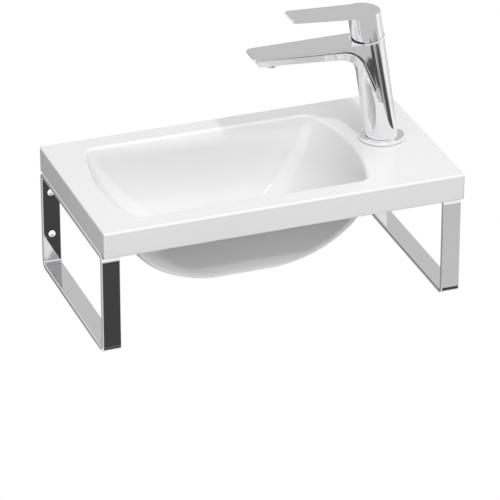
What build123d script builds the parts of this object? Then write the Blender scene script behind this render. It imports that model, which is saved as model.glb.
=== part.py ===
from build123d import *
from math import atan2, cos, degrees, pi, radians, sin, tan
import os

# Wall-hung handrinse basin: a ceramic slab with a bowl on two loop brackets, and a
# single-lever mixer tap on its right-hand end. Millimetres. X runs to the right, Y into
# the wall and Z up. The origin is the centre of the four wall holes, on the wall plane.

# Slab
SLAB_WIDTH = 400.0
SLAB_DEPTH = 220.0
SLAB_HEIGHT = 29.0
DECK_Z = 79.0
DECK_THICKNESS = 14.0
SIDE_APRON = 22.0
FRONT_APRON = 12.0
SLAB_CORNER_RADIUS = 2.5
SLAB_EDGE_RADIUS = 2.0
SLAB_UNDERSIDE_Z = DECK_Z - SLAB_HEIGHT

# Bowl: half sizes of its outline at each depth below the deck
BOWL_CENTRE_X = -28.0
BOWL_CENTRE_Y = -110.0
HULL_CENTRE_X = -25.5
BOWL_END_BULGE = 15.5
BOWL_RIM_RADIUS = 3.5
# depth, half length at the middle, half width, corner radius
BOWL_INSIDE = (
    (-1.0, 143.4, 85.2, 12.0),
    (16.0, 137.0, 81.5, 14.0),
    (33.0, 128.0, 77.5, 18.0),
    (50.0, 115.5, 73.0, 22.0),
    (67.0, 99.5, 66.0, 26.0),
    (83.0, 78.0, 55.0, 30.0),
    (95.0, 56.0, 40.0, 28.0),
    (102.0, 34.0, 25.5, 20.0),
)
BOWL_OUTSIDE = (
    (13.0, 145.0, 90.0, 18.0),
    (34.0, 138.5, 87.0, 24.0),
    (55.0, 129.0, 82.0, 32.0),
    (76.0, 113.0, 74.0, 40.0),
    (93.0, 93.5, 63.0, 43.0),
    (105.0, 70.5, 49.5, 38.0),
    (110.5, 51.0, 37.0, 30.0),
    (112.5, 35.0, 27.0, 22.0),
)
WASTE_HOLE_RADIUS = 22.5

# Brackets: closed loops of flat bar
BAR_WIDTH = 20.0
BAR_THICKNESS = 6.0
BRACKET_DEPTH = 211.0
BRACKET_HEIGHT = 116.0
BRACKET_CORNER_RADIUS = 9.0
BRACKET_X = SLAB_WIDTH / 2 - BAR_WIDTH / 2
WALL_HOLE_RADIUS = 4.0
WALL_HOLE_SPACING = 50.0
BRACKET_SCREW_YS = (-45.0, -165.0)
SCREW_RADIUS = 3.0
SCREW_HEAD_RADIUS = 5.25
SCREW_HEAD_HEIGHT = 3.2
SCREW_SHANK = 20.0
INSERT_RADIUS = 4.5
INSERT_LENGTH = 18.0

# Tap: the column leans towards the bowl
TAP_X = 151.3
TAP_Y = -105.1
TAP_LEAN = 8.6
TAP_HOLE_RADIUS = 17.5
COLUMN_RADIUS = 17.5
COLUMN_FOOT_Z = 6.5
FOOT_RADIUS = 15.5
FOOT_DROP = 3.0
BASE_RING_RADIUS = 25.2
BASE_RING_HEIGHT = 4.0
BASE_RING_ROUND = 2.6
UPSTAND_RADIUS = 16.6
TRIM_RING_RADIUS = 18.5
BODY_TOP_S = 120.3
RECESS_RADIUS = 18.8

# Spout, in mm from the deck and from the slab's middle
SPOUT_TOP = 120.0
SPOUT_TIP_X = 0.6
SPOUT_TIP_HALF_WIDTH = 16.2
SPOUT_TIP_CORNER = 7.0
SPOUT_HALF_WIDTH = 17.1
SPOUT_SWEEP_FOOT = 52.0
SIDE_LOW = (SPOUT_TIP_X, 118.9)
SIDE_KNEE = (115.9, 112.6)
SIDE_FOOT_OFFSET = 3.0
SIDE_KNEE_RADIUS = 27.0
KEEL_HALF_WIDTH = 7.5
KEEL_LOW = (9.0, 107.2)
KEEL_KNEE = (119.6, 99.6)
KEEL_FOOT_OFFSET = 15.6
KEEL_KNEE_RADIUS = 26.0
AERATOR_X = 24.0
AERATOR_RADIUS = 7.0
AERATOR_BORE = 5.6
AERATOR_BOTTOM = 104.0
AERATOR_TOP = 109.6
AERATOR_SEAL_HEIGHT = 1.0
WATERWAY_START = (AERATOR_X, 113.0)
WATERWAY_END = (124.0, 104.3)
WATERWAY_RADIUS = 2.8

# Cartridge chamber, in mm along the column's axis from the deck
CHAMBER_FLOOR_S = 98.0
CHAMBER_RADIUS = 13.4
SHOULDER_S = 112.6
NUT_BORE_RADIUS = 14.5
NUT_TOP_S = 116.3
PIVOT_S = 127.8
BALL_S = 112.0
DISC_OFFSET = 2.7
INLET_OFFSETS = ((-7.5, -5.0), (7.5, -5.0))
INLET_RADIUS = 4.5
INLET_DEPTH = 12.0
STUD_OFFSET_Y = 9.0
STUD_RADIUS = 4.0

# Lever and cap
CAP_RADIUS = 17.5
CAP_BOTTOM_S = 122.8
SKIRT_INNER_RADIUS = 15.5
CAP_CEILING_S = 146.0
LEVER_TOP_Z = 153.2
LEVER_RISE = 3.2
LEVER_REACH = 85.0
LEVER_THICKNESS = 4.6
LEVER_TIP_THICKNESS = 3.2
LEVER_BASE_HALF_WIDTH = 15.9
LEVER_TIP_HALF_WIDTH = 13.8
LEVER_TIP_CORNER = 6.0
SPINDLE_HALF = 3.4
CLEARANCE = 0.05

LEAN_SIN = sin(radians(TAP_LEAN))
LEAN_COS = cos(radians(TAP_LEAN))
TAP_FOOT = Vector(TAP_X, TAP_Y, DECK_Z)
TAP_AXIS = Vector(-LEAN_SIN, 0, LEAN_COS)
# Local x points from the column to the spout, local z up the column
TAP_PLANE = Plane(origin=TAP_FOOT, x_dir=(-LEAN_COS, 0, -LEAN_SIN), z_dir=TAP_AXIS)


def on_column(shape):
    """Put a shape drawn about the origin onto the leaning column."""
    return TAP_PLANE.location * shape


def tube(outer, inner, low, high):
    """A ring about the Z axis from height low to height high."""
    ring = Pos(0, 0, (low + high) / 2) * Cylinder(outer, high - low)
    if inner > 0:
        ring -= Pos(0, 0, (low + high) / 2) * Cylinder(inner, high - low + 2)
    return ring


def revolved(points):
    """Turn a closed outline of (radius, height) points about the Z axis."""
    outline = Polyline([(r, 0, z) for r, z in points], close=True)
    return revolve(make_face(outline), Axis.Z)


def edges_of_radius(shape, radius):
    """The full circles of one radius on a turned shape."""
    return shape.edges().filter_by(lambda e: abs(e.length - 2 * pi * radius) < 0.1)


def block(x0, x1, y0, y1, z0, z1):
    """A box between two corners."""
    return Pos((x0 + x1) / 2, (y0 + y1) / 2, (z0 + z1) / 2) * Box(x1 - x0, y1 - y0, z1 - z0)


def on_deck(x, height):
    """A point of the tap's upright middle plane, by its height above the deck."""
    return Vector(x, 0, DECK_Z + height)


# Basin


def bowl_outline(centre_x, depth, half_length, half_width, corner):
    """The barrel-shaped outline of the bowl at one depth below the deck."""
    end = half_length - BOWL_END_BULGE * half_length / BOWL_INSIDE[0][1]
    edges = [
        Line((-end, half_width), (end, half_width)),
        ThreePointArc((end, half_width), (half_length, 0), (end, -half_width)),
        Line((end, -half_width), (-end, -half_width)),
        ThreePointArc((-end, -half_width), (-half_length, 0), (-end, half_width)),
    ]
    face = make_face(edges)
    face = fillet(face.vertices(), corner)
    return Pos(centre_x, BOWL_CENTRE_Y, DECK_Z - depth) * face


def bowl_form(centre_x, levels):
    return loft([bowl_outline(centre_x, *level).face() for level in levels])


def make_basin():
    slab = block(-SLAB_WIDTH / 2, SLAB_WIDTH / 2, -SLAB_DEPTH, 0, SLAB_UNDERSIDE_Z, DECK_Z)
    slab = fillet(slab.edges().filter_by(Axis.Z), SLAB_CORNER_RADIUS)
    slab = fillet(slab.edges().filter_by(lambda e: e.center().Z > DECK_Z - 1), SLAB_EDGE_RADIUS)
    recess = block(
        -SLAB_WIDTH / 2 + SIDE_APRON,
        SLAB_WIDTH / 2 - SIDE_APRON,
        -SLAB_DEPTH + FRONT_APRON,
        -FRONT_APRON,
        SLAB_UNDERSIDE_Z - 1,
        DECK_Z - DECK_THICKNESS,
    )
    recess = fillet(recess.edges().filter_by(Axis.Z), 8)
    basin = slab - recess + bowl_form(HULL_CENTRE_X, BOWL_OUTSIDE)
    basin -= bowl_form(BOWL_CENTRE_X, BOWL_INSIDE)
    rim = basin.edges().filter_by(
        lambda e: abs(e.center().Z - DECK_Z) < 0.1
        and abs(e.center().X - BOWL_CENTRE_X) < 150
        and -197 < e.center().Y < -22
    )
    basin = fillet(rim, BOWL_RIM_RADIUS)
    floor_z = DECK_Z - BOWL_INSIDE[-1][0]
    basin -= Pos(BOWL_CENTRE_X, BOWL_CENTRE_Y, floor_z) * Cylinder(WASTE_HOLE_RADIUS, 60)
    basin -= Pos(TAP_X, TAP_Y, DECK_Z) * Cylinder(TAP_HOLE_RADIUS, 40)
    for side in (-1, 1):
        for y in BRACKET_SCREW_YS:
            hole = Cylinder(INSERT_RADIUS + CLEARANCE, INSERT_LENGTH + 4)
            basin -= Pos(side * BRACKET_X, y, SLAB_UNDERSIDE_Z + INSERT_LENGTH / 2) * hole
    return basin


def make_insert(side, y):
    insert = tube(INSERT_RADIUS, SCREW_RADIUS + CLEARANCE, 0, INSERT_LENGTH)
    return Pos(side * BRACKET_X, y, SLAB_UNDERSIDE_Z) * insert


# Brackets


def make_bracket(side):
    outer = Pos(0, -BRACKET_DEPTH / 2, SLAB_UNDERSIDE_Z - BRACKET_HEIGHT / 2) * Box(
        BAR_WIDTH, BRACKET_DEPTH, BRACKET_HEIGHT
    )
    outer = fillet(outer.edges().filter_by(Axis.X), BRACKET_CORNER_RADIUS)
    inner = Pos(0, -BRACKET_DEPTH / 2, SLAB_UNDERSIDE_Z - BRACKET_HEIGHT / 2) * Box(
        BAR_WIDTH + 2, BRACKET_DEPTH - 2 * BAR_THICKNESS, BRACKET_HEIGHT - 2 * BAR_THICKNESS
    )
    inner = fillet(inner.edges().filter_by(Axis.X), BRACKET_CORNER_RADIUS - BAR_THICKNESS)
    loop = outer - inner
    loop = chamfer(loop.edges().filter_by(lambda e: abs(abs(e.center().X) - BAR_WIDTH / 2) < 0.01), 0.5)
    for z in (-WALL_HOLE_SPACING / 2, WALL_HOLE_SPACING / 2):
        loop -= Pos(0, -BAR_THICKNESS / 2, z) * Rot(90, 0, 0) * Cylinder(WALL_HOLE_RADIUS, 20)
    for y in BRACKET_SCREW_YS:
        loop -= Pos(0, y, SLAB_UNDERSIDE_Z) * Cylinder(SCREW_RADIUS + 0.3, 3 * BAR_THICKNESS)
    return Pos(side * BRACKET_X, 0, 0) * loop


def make_bracket_screw(side, y):
    """A button-head screw, head down, up through the bracket into its insert."""
    shank = tube(SCREW_RADIUS, 0, -BAR_THICKNESS, SCREW_SHANK - BAR_THICKNESS)
    head_low = -BAR_THICKNESS - SCREW_HEAD_HEIGHT
    head = tube(SCREW_HEAD_RADIUS, 0, head_low, -BAR_THICKNESS)
    head = fillet(head.edges().group_by(Axis.Z)[0], 2.2)
    socket = extrude(Pos(0, 0, head_low) * RegularPolygon(2.0, 6), 1.8)
    return Pos(side * BRACKET_X, y, SLAB_UNDERSIDE_Z) * (shank + head - socket)


# Tap body


def axis_x(height):
    """Where the leaning column's axis is, at a height above the deck."""
    return TAP_X - height * tan(radians(TAP_LEAN))


def side_face(y, low_point, knee_point, radius, foot_offset):
    """An upright outline of the spout, one plane across its width.

    The lower edge runs from the tip to a round corner under the column, and then down
    the column to a point in front of the column's axis.
    """
    foot_x = axis_x(SPOUT_SWEEP_FOOT)
    end = Vector(foot_x - foot_offset, y, DECK_Z + SPOUT_SWEEP_FOOT)
    tip_top = Vector(SPOUT_TIP_X, y, DECK_Z + SPOUT_TOP)
    low = Vector(low_point[0], y, DECK_Z + low_point[1])
    knee = Vector(knee_point[0], y, DECK_Z + knee_point[1])
    rear_top = Vector(axis_x(SPOUT_TOP), y, DECK_Z + SPOUT_TOP)
    rear_low = Vector(foot_x, y, DECK_Z + SPOUT_SWEEP_FOOT)
    fall = turn_at(low, knee, end)
    tangent_in = (low - knee).normalized()
    tangent_out = (end - knee).normalized()
    reach = radius * tan(radians(fall) / 2)
    start = knee + tangent_in * reach
    finish = knee + tangent_out * reach
    bisector = (tangent_in + tangent_out).normalized()
    middle = knee + bisector * (radius / cos(radians(fall) / 2) - radius)
    edges = [
        Line(rear_top, tip_top),
        Line(tip_top, low),
        Line(low, start),
        ThreePointArc(start, middle, finish),
        Line(finish, end),
        Line(end, rear_low),
        Line(rear_low, rear_top),
    ]
    return Face(Wire(edges))


def turn_at(low, knee, end):
    """Degrees that the lower edge turns at its knee."""
    first = atan2(knee.Z - low.Z, knee.X - low.X)
    second = atan2(end.Z - knee.Z, end.X - knee.X)
    return degrees(first - second)


def make_spout():
    sides = [(-1, True), (-1, False), (1, False), (1, True)]
    sections = []
    for sign, is_side in sides:
        if is_side:
            y = sign * SPOUT_HALF_WIDTH
            section = side_face(y, SIDE_LOW, SIDE_KNEE, SIDE_KNEE_RADIUS, SIDE_FOOT_OFFSET)
        else:
            y = sign * KEEL_HALF_WIDTH
            section = side_face(y, KEEL_LOW, KEEL_KNEE, KEEL_KNEE_RADIUS, KEEL_FOOT_OFFSET)
        sections.append(section)
    spout = loft(sections, ruled=True)
    plan = make_face(
        Polyline(
            (SPOUT_TIP_X, -SPOUT_TIP_HALF_WIDTH),
            (TAP_X, -SPOUT_HALF_WIDTH),
            (TAP_X, SPOUT_HALF_WIDTH),
            (SPOUT_TIP_X, SPOUT_TIP_HALF_WIDTH),
            close=True,
        )
    )
    plan = fillet(plan.vertices().sort_by(Axis.X)[0:2], SPOUT_TIP_CORNER)
    spout &= Pos(0, 0, DECK_Z) * extrude(plan, 2 * SPOUT_TOP)
    return Pos(0, TAP_Y, 0) * spout


def make_tap_body():
    column = on_column(Pos(0, 0, 70) * Cylinder(COLUMN_RADIUS, 170))
    column -= block(100, 220, -160, -50, DECK_Z - 60, DECK_Z + COLUMN_FOOT_Z)
    body = column + make_spout()
    body -= on_column(tube(RECESS_RADIUS, 0, BODY_TOP_S, BODY_TOP_S + 80))
    foot = Pos(TAP_X, TAP_Y, DECK_Z) * tube(FOOT_RADIUS, 0, -FOOT_DROP, COLUMN_FOOT_Z + 1)
    body += foot
    chamber = revolved(
        [
            (0, CHAMBER_FLOOR_S),
            (CHAMBER_RADIUS, CHAMBER_FLOOR_S),
            (CHAMBER_RADIUS, SHOULDER_S),
            (NUT_BORE_RADIUS, SHOULDER_S),
            (NUT_BORE_RADIUS, NUT_TOP_S + 0.1),
            (15.9, 118.6),
            (16.9, BODY_TOP_S),
            (16.9, BODY_TOP_S + 5),
            (0, BODY_TOP_S + 5),
        ]
    )
    body -= on_column(chamber)
    for x, y in INLET_OFFSETS:
        socket = Pos(TAP_X + x, TAP_Y + y, DECK_Z) * tube(INLET_RADIUS, 0, -9, INLET_DEPTH - FOOT_DROP)
        body -= socket
        body -= on_column(Pos(-x, -y, 0) * tube(2.6, 0, INLET_DEPTH - FOOT_DROP - 2, CHAMBER_FLOOR_S + 1))
    body -= Pos(TAP_X, TAP_Y + STUD_OFFSET_Y, DECK_Z) * tube(STUD_RADIUS + CLEARANCE, 0, -9, 12)
    aerator = Pos(AERATOR_X, TAP_Y, DECK_Z)
    seal_top = AERATOR_TOP + AERATOR_SEAL_HEIGHT
    body -= aerator * tube(AERATOR_RADIUS + CLEARANCE, 0, AERATOR_BOTTOM - 4, seal_top)
    body -= aerator * tube(AERATOR_BORE, 0, AERATOR_TOP, WATERWAY_START[1] + WATERWAY_RADIUS)
    start = on_deck(*WATERWAY_START)
    finish = on_deck(*WATERWAY_END)
    run = finish - start
    way = Plane(origin=(start.X, TAP_Y, start.Z), z_dir=run)
    body -= way.location * tube(WATERWAY_RADIUS, 0, 0, run.length)
    return body


def make_base_ring():
    ring = revolved(
        [
            (FOOT_RADIUS + CLEARANCE, 0),
            (19.4, 0),
            (19.4, 1.5),
            (22.2, 1.5),
            (22.2, 0),
            (BASE_RING_RADIUS, 0),
            (BASE_RING_RADIUS, BASE_RING_HEIGHT),
            (UPSTAND_RADIUS, BASE_RING_HEIGHT),
            (UPSTAND_RADIUS, COLUMN_FOOT_Z),
            (FOOT_RADIUS + CLEARANCE, COLUMN_FOOT_Z),
        ]
    )
    edge = edges_of_radius(ring, BASE_RING_RADIUS).sort_by(Axis.Z)[-1:]
    ring = fillet(edge, BASE_RING_ROUND)
    return Pos(TAP_FOOT) * ring


def make_base_seal():
    seal = tube(22.15, 19.45, 0, 1.45)
    return Pos(TAP_FOOT) * seal


def make_trim_ring():
    """The bright ring between the column and the cap, wider than both."""
    ring = revolved(
        [
            (16.9, BODY_TOP_S),
            (TRIM_RING_RADIUS, BODY_TOP_S),
            (TRIM_RING_RADIUS, BODY_TOP_S + 2.2),
            (17.7, BODY_TOP_S + 2.2),
        ]
    )
    return on_column(fillet(edges_of_radius(ring, TRIM_RING_RADIUS), 0.6))


# Fixing under the deck


def horseshoe(low, high):
    """A plate with an open mouth for the supply tails and a hole for the stud."""
    plate = tube(21.5, 0, low, high)
    plate -= block(-12, 12, -30, 1.5, low - 1, high + 1)
    plate -= Pos(0, STUD_OFFSET_Y, (low + high) / 2) * Cylinder(STUD_RADIUS + 0.3, high - low + 2)
    return Pos(TAP_FOOT) * plate


def make_fixing_stud():
    stud = tube(STUD_RADIUS, 0, -46, 9)
    stud = chamfer(stud.edges().group_by(Axis.Z)[0], 0.8)
    return Pos(TAP_X, TAP_Y + STUD_OFFSET_Y, DECK_Z) * stud


def make_fixing_nut():
    low = -DECK_THICKNESS - 4.5 - 8
    nut = extrude(Pos(0, 0, low) * RegularPolygon(6.5, 6, major_radius=False), 8)
    nut -= tube(STUD_RADIUS + CLEARANCE, 0, low - 1, low + 9)
    return Pos(TAP_X, TAP_Y + STUD_OFFSET_Y, DECK_Z) * nut


# Cartridge, drawn about the column's axis; local x points to the spout


def make_cartridge_housing():
    housing = revolved(
        [
            (10.6, 100.0),
            (12.2, 100.0),
            (12.2, 110.8),
            (11.5, 110.8),
            (11.5, 112.4),
            (12.2, 112.4),
            (12.2, SHOULDER_S),
            (14.3, SHOULDER_S),
            (14.3, 114.0),
            (12.0, 114.0),
            (12.0, 116.9),
            (10.5, 117.9),
            (10.5, 131.0),
            (7.4, 131.0),
            (7.4, 129.7),
            (8.8, 129.7),
            (8.8, 116.3),
            (10.6, 116.3),
        ]
    )
    for side in (-1, 1):
        housing -= Pos(0, side * 11.5, 101.9) * Box(9, 5, 2.6)
    return on_column(housing)


def make_cartridge_base():
    base = tube(10.5, 0, 100.0, 104.0)
    for x, y in INLET_OFFSETS:
        base -= Pos(-x, -y, 102) * Cylinder(2.6, 6)
    base -= Pos(4.6, 0, 103) * Cylinder(2.6, 4)
    base -= Pos(4.6, 0, 101.9) * Box(5.2, 30, 2.2)
    return on_column(base)


def make_inlet_seals():
    rings = []
    for x, y in INLET_OFFSETS:
        rings.append(on_column(Pos(-x, -y, 0) * tube(4.2, 2.9, CHAMBER_FLOOR_S, 100.0)))
    return rings


def make_fixed_disc():
    disc = tube(10.4, 0, 104.0, 107.2)
    for x, y in INLET_OFFSETS:
        disc -= Pos(-x, -y, 105.6) * Cylinder(2.4, 6)
    disc -= Pos(4.6, 0, 105.6) * Cylinder(2.6, 6)
    return on_column(disc)


def make_moving_disc():
    disc = Pos(-DISC_OFFSET, 0, 0) * tube(7.4, 0, 107.25, 110.0)
    disc -= Pos(-DISC_OFFSET, 0, 107.6) * Box(6.5, 9.0, 1.8)
    return on_column(disc)


def make_disc_carrier():
    carrier = Pos(-DISC_OFFSET, 0, 0) * tube(7.4, 0, 110.0, 113.4)
    carrier -= tube(2.6, 0, 110.6, 114)
    return on_column(carrier)


def make_spindle_guide():
    """The part that turns in the cartridge's neck and holds the cross pin."""
    guide = tube(8.7, 0, 113.0, 129.5) + tube(10.5, 0, 113.7, 116.2)
    guide -= tube(9, 0, 112.0, 113.7)
    guide -= block(-4.6, 7.4, -3.0, 3.0, 110, 131)
    guide -= Pos(0, 0, PIVOT_S) * Rot(90, 0, 0) * Cylinder(1.5, 30)
    return on_column(guide)


def make_spindle_pin():
    return on_column(Pos(0, 0, PIVOT_S) * Rot(90, 0, 0) * Cylinder(1.5 - CLEARANCE, 16))


def make_spindle():
    """A square stem above the pin and a slim arm with a ball below it."""
    stem = block(-SPINDLE_HALF, SPINDLE_HALF, -2.9, 2.9, PIVOT_S - 3.5, 131.5)
    stem += block(-SPINDLE_HALF, SPINDLE_HALF, -SPINDLE_HALF, SPINDLE_HALF, 131.4, 147.0)
    arm = block(-1.7, 1.7, -1.7, 1.7, BALL_S, PIVOT_S - 3.0)
    ball = Pos(0, 0, BALL_S) * Sphere(2.2)
    spindle = stem + arm + ball - Pos(0, 0, 108.5) * Box(8, 8, 4.4)
    spindle -= Pos(0, 0, PIVOT_S) * Rot(90, 0, 0) * Cylinder(1.5, 20)
    return on_column(spindle)


def make_cartridge_o_ring():
    return on_column(Pos(0, 0, 111.6) * Torus(12.45, 0.78))


def make_cartridge_nut():
    nut = tube(NUT_BORE_RADIUS - 0.05, 12.2, 114.05, NUT_TOP_S)
    for angle in range(0, 360, 60):
        nut -= Rot(0, 0, angle) * Pos(14.2, 0, NUT_TOP_S) * Box(1.6, 2.4, 2)
    return on_column(nut)


# Lever


def lever_plane():
    """The plane of the lever's flat top, x towards the tip."""
    rise = radians(LEVER_RISE)
    origin = (axis_x(LEVER_TOP_Z), TAP_Y, DECK_Z + LEVER_TOP_Z)
    return Plane(origin=origin, x_dir=(-cos(rise), 0, sin(rise)), z_dir=(sin(rise), 0, cos(rise)))


def make_lever():
    cap = on_column(tube(CAP_RADIUS, 0, CAP_BOTTOM_S, 175))
    top = lever_plane()
    cap -= top.location * block(-60, 60, -60, 60, 0, 60)
    outline = make_face(
        Polyline(
            (0, -LEVER_BASE_HALF_WIDTH),
            (LEVER_REACH, -LEVER_TIP_HALF_WIDTH),
            (LEVER_REACH, LEVER_TIP_HALF_WIDTH),
            (0, LEVER_BASE_HALF_WIDTH),
            close=True,
        )
    )
    outline = fillet(outline.vertices().sort_by(Axis.X)[-2:], LEVER_TIP_CORNER)
    plate = extrude(outline, -LEVER_THICKNESS)
    under = make_face(
        Polyline(
            (30, 0, -LEVER_THICKNESS),
            (LEVER_REACH + 1, 0, -LEVER_TIP_THICKNESS),
            (LEVER_REACH + 1, 0, -10),
            (30, 0, -10),
            close=True,
        )
    )
    plate -= extrude(under, 40, both=True)
    lever = cap + top.location * plate
    hollow = tube(SKIRT_INNER_RADIUS, 0, CAP_BOTTOM_S - 1, CAP_CEILING_S)
    hollow -= tube(7.2, 0, 137.0, CAP_CEILING_S + 1)
    lever -= on_column(hollow)
    reach = SPINDLE_HALF + CLEARANCE
    lever -= on_column(block(-reach, reach, -reach, reach, 130, 147.1))
    screw_hole = Pos(0, 0, 142) * Rot(0, -90, 0) * tube(2.5, 0, reach - 0.5, 12.5)
    plug_hole = Pos(0, 0, 142) * Rot(0, -90, 0) * tube(3.0, 0, 12.4, 20)
    lever -= on_column(screw_hole)
    lever -= on_column(plug_hole)
    return lever


def make_set_screw():
    screw = tube(2.45, 0, SPINDLE_HALF + 0.02, 8.5)
    screw -= extrude(Pos(0, 0, 6.5) * RegularPolygon(1.3, 6), 3)
    return on_column(Pos(0, 0, 142) * Rot(0, -90, 0) * screw)


def make_lever_plug():
    plug = Pos(0, 0, 142) * Rot(0, -90, 0) * tube(2.95, 0, 15.6, 20)
    return on_column(plug & Pos(0, 0, 142) * Cylinder(CAP_RADIUS, 12))


# Aerator


def make_aerator_housing():
    ring = tube(AERATOR_RADIUS, AERATOR_BORE, AERATOR_BOTTOM, AERATOR_TOP)
    ring += tube(AERATOR_BORE + 0.1, 4.9, AERATOR_BOTTOM, AERATOR_BOTTOM + 0.8)
    ring = chamfer(ring.edges().group_by(Axis.Z)[0].sort_by(SortBy.LENGTH)[-1:], 0.5)
    return Pos(AERATOR_X, TAP_Y, DECK_Z) * ring


def make_aerator_insert():
    core = tube(AERATOR_BORE - CLEARANCE, 0, AERATOR_BOTTOM + 0.85, AERATOR_TOP)
    for ring_radius, count in ((0.0, 1), (1.9, 6), (3.8, 12)):
        for index in range(count):
            hole = Pos(ring_radius, 0, AERATOR_TOP) * Cylinder(0.55, 20)
            core -= Rot(0, 0, 360 / count * index) * hole
    return Pos(AERATOR_X, TAP_Y, DECK_Z) * core


def make_aerator_seal():
    return Pos(AERATOR_X, TAP_Y, DECK_Z) * tube(
        AERATOR_RADIUS, 4.9, AERATOR_TOP, AERATOR_TOP + AERATOR_SEAL_HEIGHT
    )


def write(name, pieces):
    """Write one node; a group of separate solids is passed as a list."""
    if isinstance(pieces, list):
        pieces = Compound([solid for piece in pieces for solid in piece.solids()])
    export_step(pieces, f"parts/{name}.step")


os.makedirs("parts", exist_ok=True)
SCREW_PLACES = [(side, y) for side in (-1, 1) for y in BRACKET_SCREW_YS]

write("basin", make_basin())
write("basin_inserts", [make_insert(side, y) for side, y in SCREW_PLACES])
write("left_bracket", make_bracket(-1))
write("right_bracket", make_bracket(1))
write("bracket_screws", [make_bracket_screw(side, y) for side, y in SCREW_PLACES])
write("tap_body", make_tap_body())
write("tap_base_ring", make_base_ring())
write("base_seal", make_base_seal())
write("trim_ring", make_trim_ring())
write("horseshoe_gasket", horseshoe(-DECK_THICKNESS - 2.0, -DECK_THICKNESS))
write("horseshoe_washer", horseshoe(-DECK_THICKNESS - 4.5, -DECK_THICKNESS - 2.0))
write("fixing_stud", make_fixing_stud())
write("fixing_nut", make_fixing_nut())
write("cartridge_housing", make_cartridge_housing())
write("cartridge_base", make_cartridge_base())
write("inlet_seals", make_inlet_seals())
write("fixed_disc", make_fixed_disc())
write("moving_disc", make_moving_disc())
write("disc_carrier", make_disc_carrier())
write("spindle_guide", make_spindle_guide())
write("spindle_pin", make_spindle_pin())
write("cartridge_spindle", make_spindle())
write("cartridge_o_ring", make_cartridge_o_ring())
write("cartridge_nut", make_cartridge_nut())
write("tap_lever", make_lever())
write("lever_set_screw", make_set_screw())
write("lever_plug", make_lever_plug())
write("aerator_housing", make_aerator_housing())
write("aerator_insert", make_aerator_insert())
write("aerator_seal", make_aerator_seal())
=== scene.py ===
from math import atan2, cos, pi, radians, sin, sqrt, tan

import bmesh
import bpy
from mathutils import Matrix, Vector


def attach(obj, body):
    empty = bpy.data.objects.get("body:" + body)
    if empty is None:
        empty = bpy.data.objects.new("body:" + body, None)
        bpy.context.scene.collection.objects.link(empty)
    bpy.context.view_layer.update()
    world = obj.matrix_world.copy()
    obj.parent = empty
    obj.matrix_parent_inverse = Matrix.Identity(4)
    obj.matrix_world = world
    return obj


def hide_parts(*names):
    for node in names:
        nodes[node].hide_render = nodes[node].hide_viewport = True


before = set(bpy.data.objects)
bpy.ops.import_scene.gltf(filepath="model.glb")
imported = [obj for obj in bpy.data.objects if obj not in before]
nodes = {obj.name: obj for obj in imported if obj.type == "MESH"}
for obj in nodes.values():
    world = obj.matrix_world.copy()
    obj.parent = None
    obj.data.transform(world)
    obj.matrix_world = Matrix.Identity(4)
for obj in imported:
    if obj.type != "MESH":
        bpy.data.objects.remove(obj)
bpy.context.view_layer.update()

MM = 0.001

# Sizes of the basin, in millimetres
DECK_Z = 79.0
UNDERSIDE_Z = 50.0
SLAB_HALF_WIDTH = 200.0
SLAB_HALF_DEPTH = 110.0
SLAB_CENTRE = (0.0, -SLAB_HALF_DEPTH)
SLAB_CORNER = 2.5
SLAB_EDGE = 2.0
DECK_THICKNESS = 14.0
UNDER_HALF_WIDTH = 178.0
UNDER_HALF_DEPTH = 98.0
UNDER_CORNER = 8.0
BOWL_CENTRE = (-28.0, -SLAB_HALF_DEPTH)
HULL_CENTRE = (-25.5, -SLAB_HALF_DEPTH)
RIM_RADIUS = 3.5
# depth below the deck, half length, half width, corner radius
BOWL_INSIDE = (
    (-1.0, 143.4, 85.2, 12.0),
    (16.0, 137.0, 81.5, 14.0),
    (33.0, 128.0, 77.5, 18.0),
    (50.0, 115.5, 73.0, 22.0),
    (67.0, 99.5, 66.0, 26.0),
    (83.0, 78.0, 55.0, 30.0),
    (95.0, 56.0, 40.0, 28.0),
    (102.0, 34.0, 25.5, 20.0),
)
BOWL_OUTSIDE = (
    (13.0, 145.0, 90.0, 18.0),
    (34.0, 138.5, 87.0, 24.0),
    (55.0, 129.0, 82.0, 32.0),
    (76.0, 113.0, 74.0, 40.0),
    (93.0, 93.5, 63.0, 43.0),
    (105.0, 70.5, 49.5, 38.0),
    (110.5, 51.0, 37.0, 30.0),
    (112.5, 35.0, 27.0, 22.0),
)
RIM_HALF_LENGTH = BOWL_INSIDE[0][1]
RIM_BULGE = 15.5
# The flat band in the bowl's corners: its share of the turn, how tight its ends are, and
# the depths over which it comes and goes
BAND_SHARE = 0.6
BAND_TURN = 0.2
BAND_FADE_IN = 14.0
BAND_FADE_OUT = 16.0
BAND_END = 100.0
WASTE_RADIUS = 22.5
TAP_HOLE_RADIUS = 17.5
INSERT_RADIUS = 4.5

# Sizes of the brackets
BRACKET_X = 190.0
BRACKET_DEPTH = 211.0
BRACKET_HEIGHT = 116.0
BRACKET_CORNER = 9.0
BAR_HALF_WIDTH = 10.0
BAR_THICKNESS = 6.0
BAR_EDGE = 0.8
SCREW_Y = (-45.0, -165.0)
SCREW_RADIUS = 3.3
WALL_HOLE_Z = (-25.0, 25.0)
WALL_HOLE_RADIUS = 4.0

# Sizes of the tap, with heights above the deck, along the column where a piece leans
TAP_X = 151.3
TAP_Y = -105.1
LEAN = radians(8.6)
COLUMN_RADIUS = 17.5
COLUMN_FOOT = 6.5
COLUMN_TOP = 120.3
RECESS_RADIUS = 20.2
NECK_RADIUS = 16.9
NECK_FLOOR = 114
FOOT_RADIUS = 15.5
FOOT_TOP = 8
# Two inlets and the stud: offset from the tap's centre, radius
FOOT_SOCKETS = ((-7.5, -5.0, 4.5), (7.5, -5.0, 4.5), (0.0, 9.0, 4.05))

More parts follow.
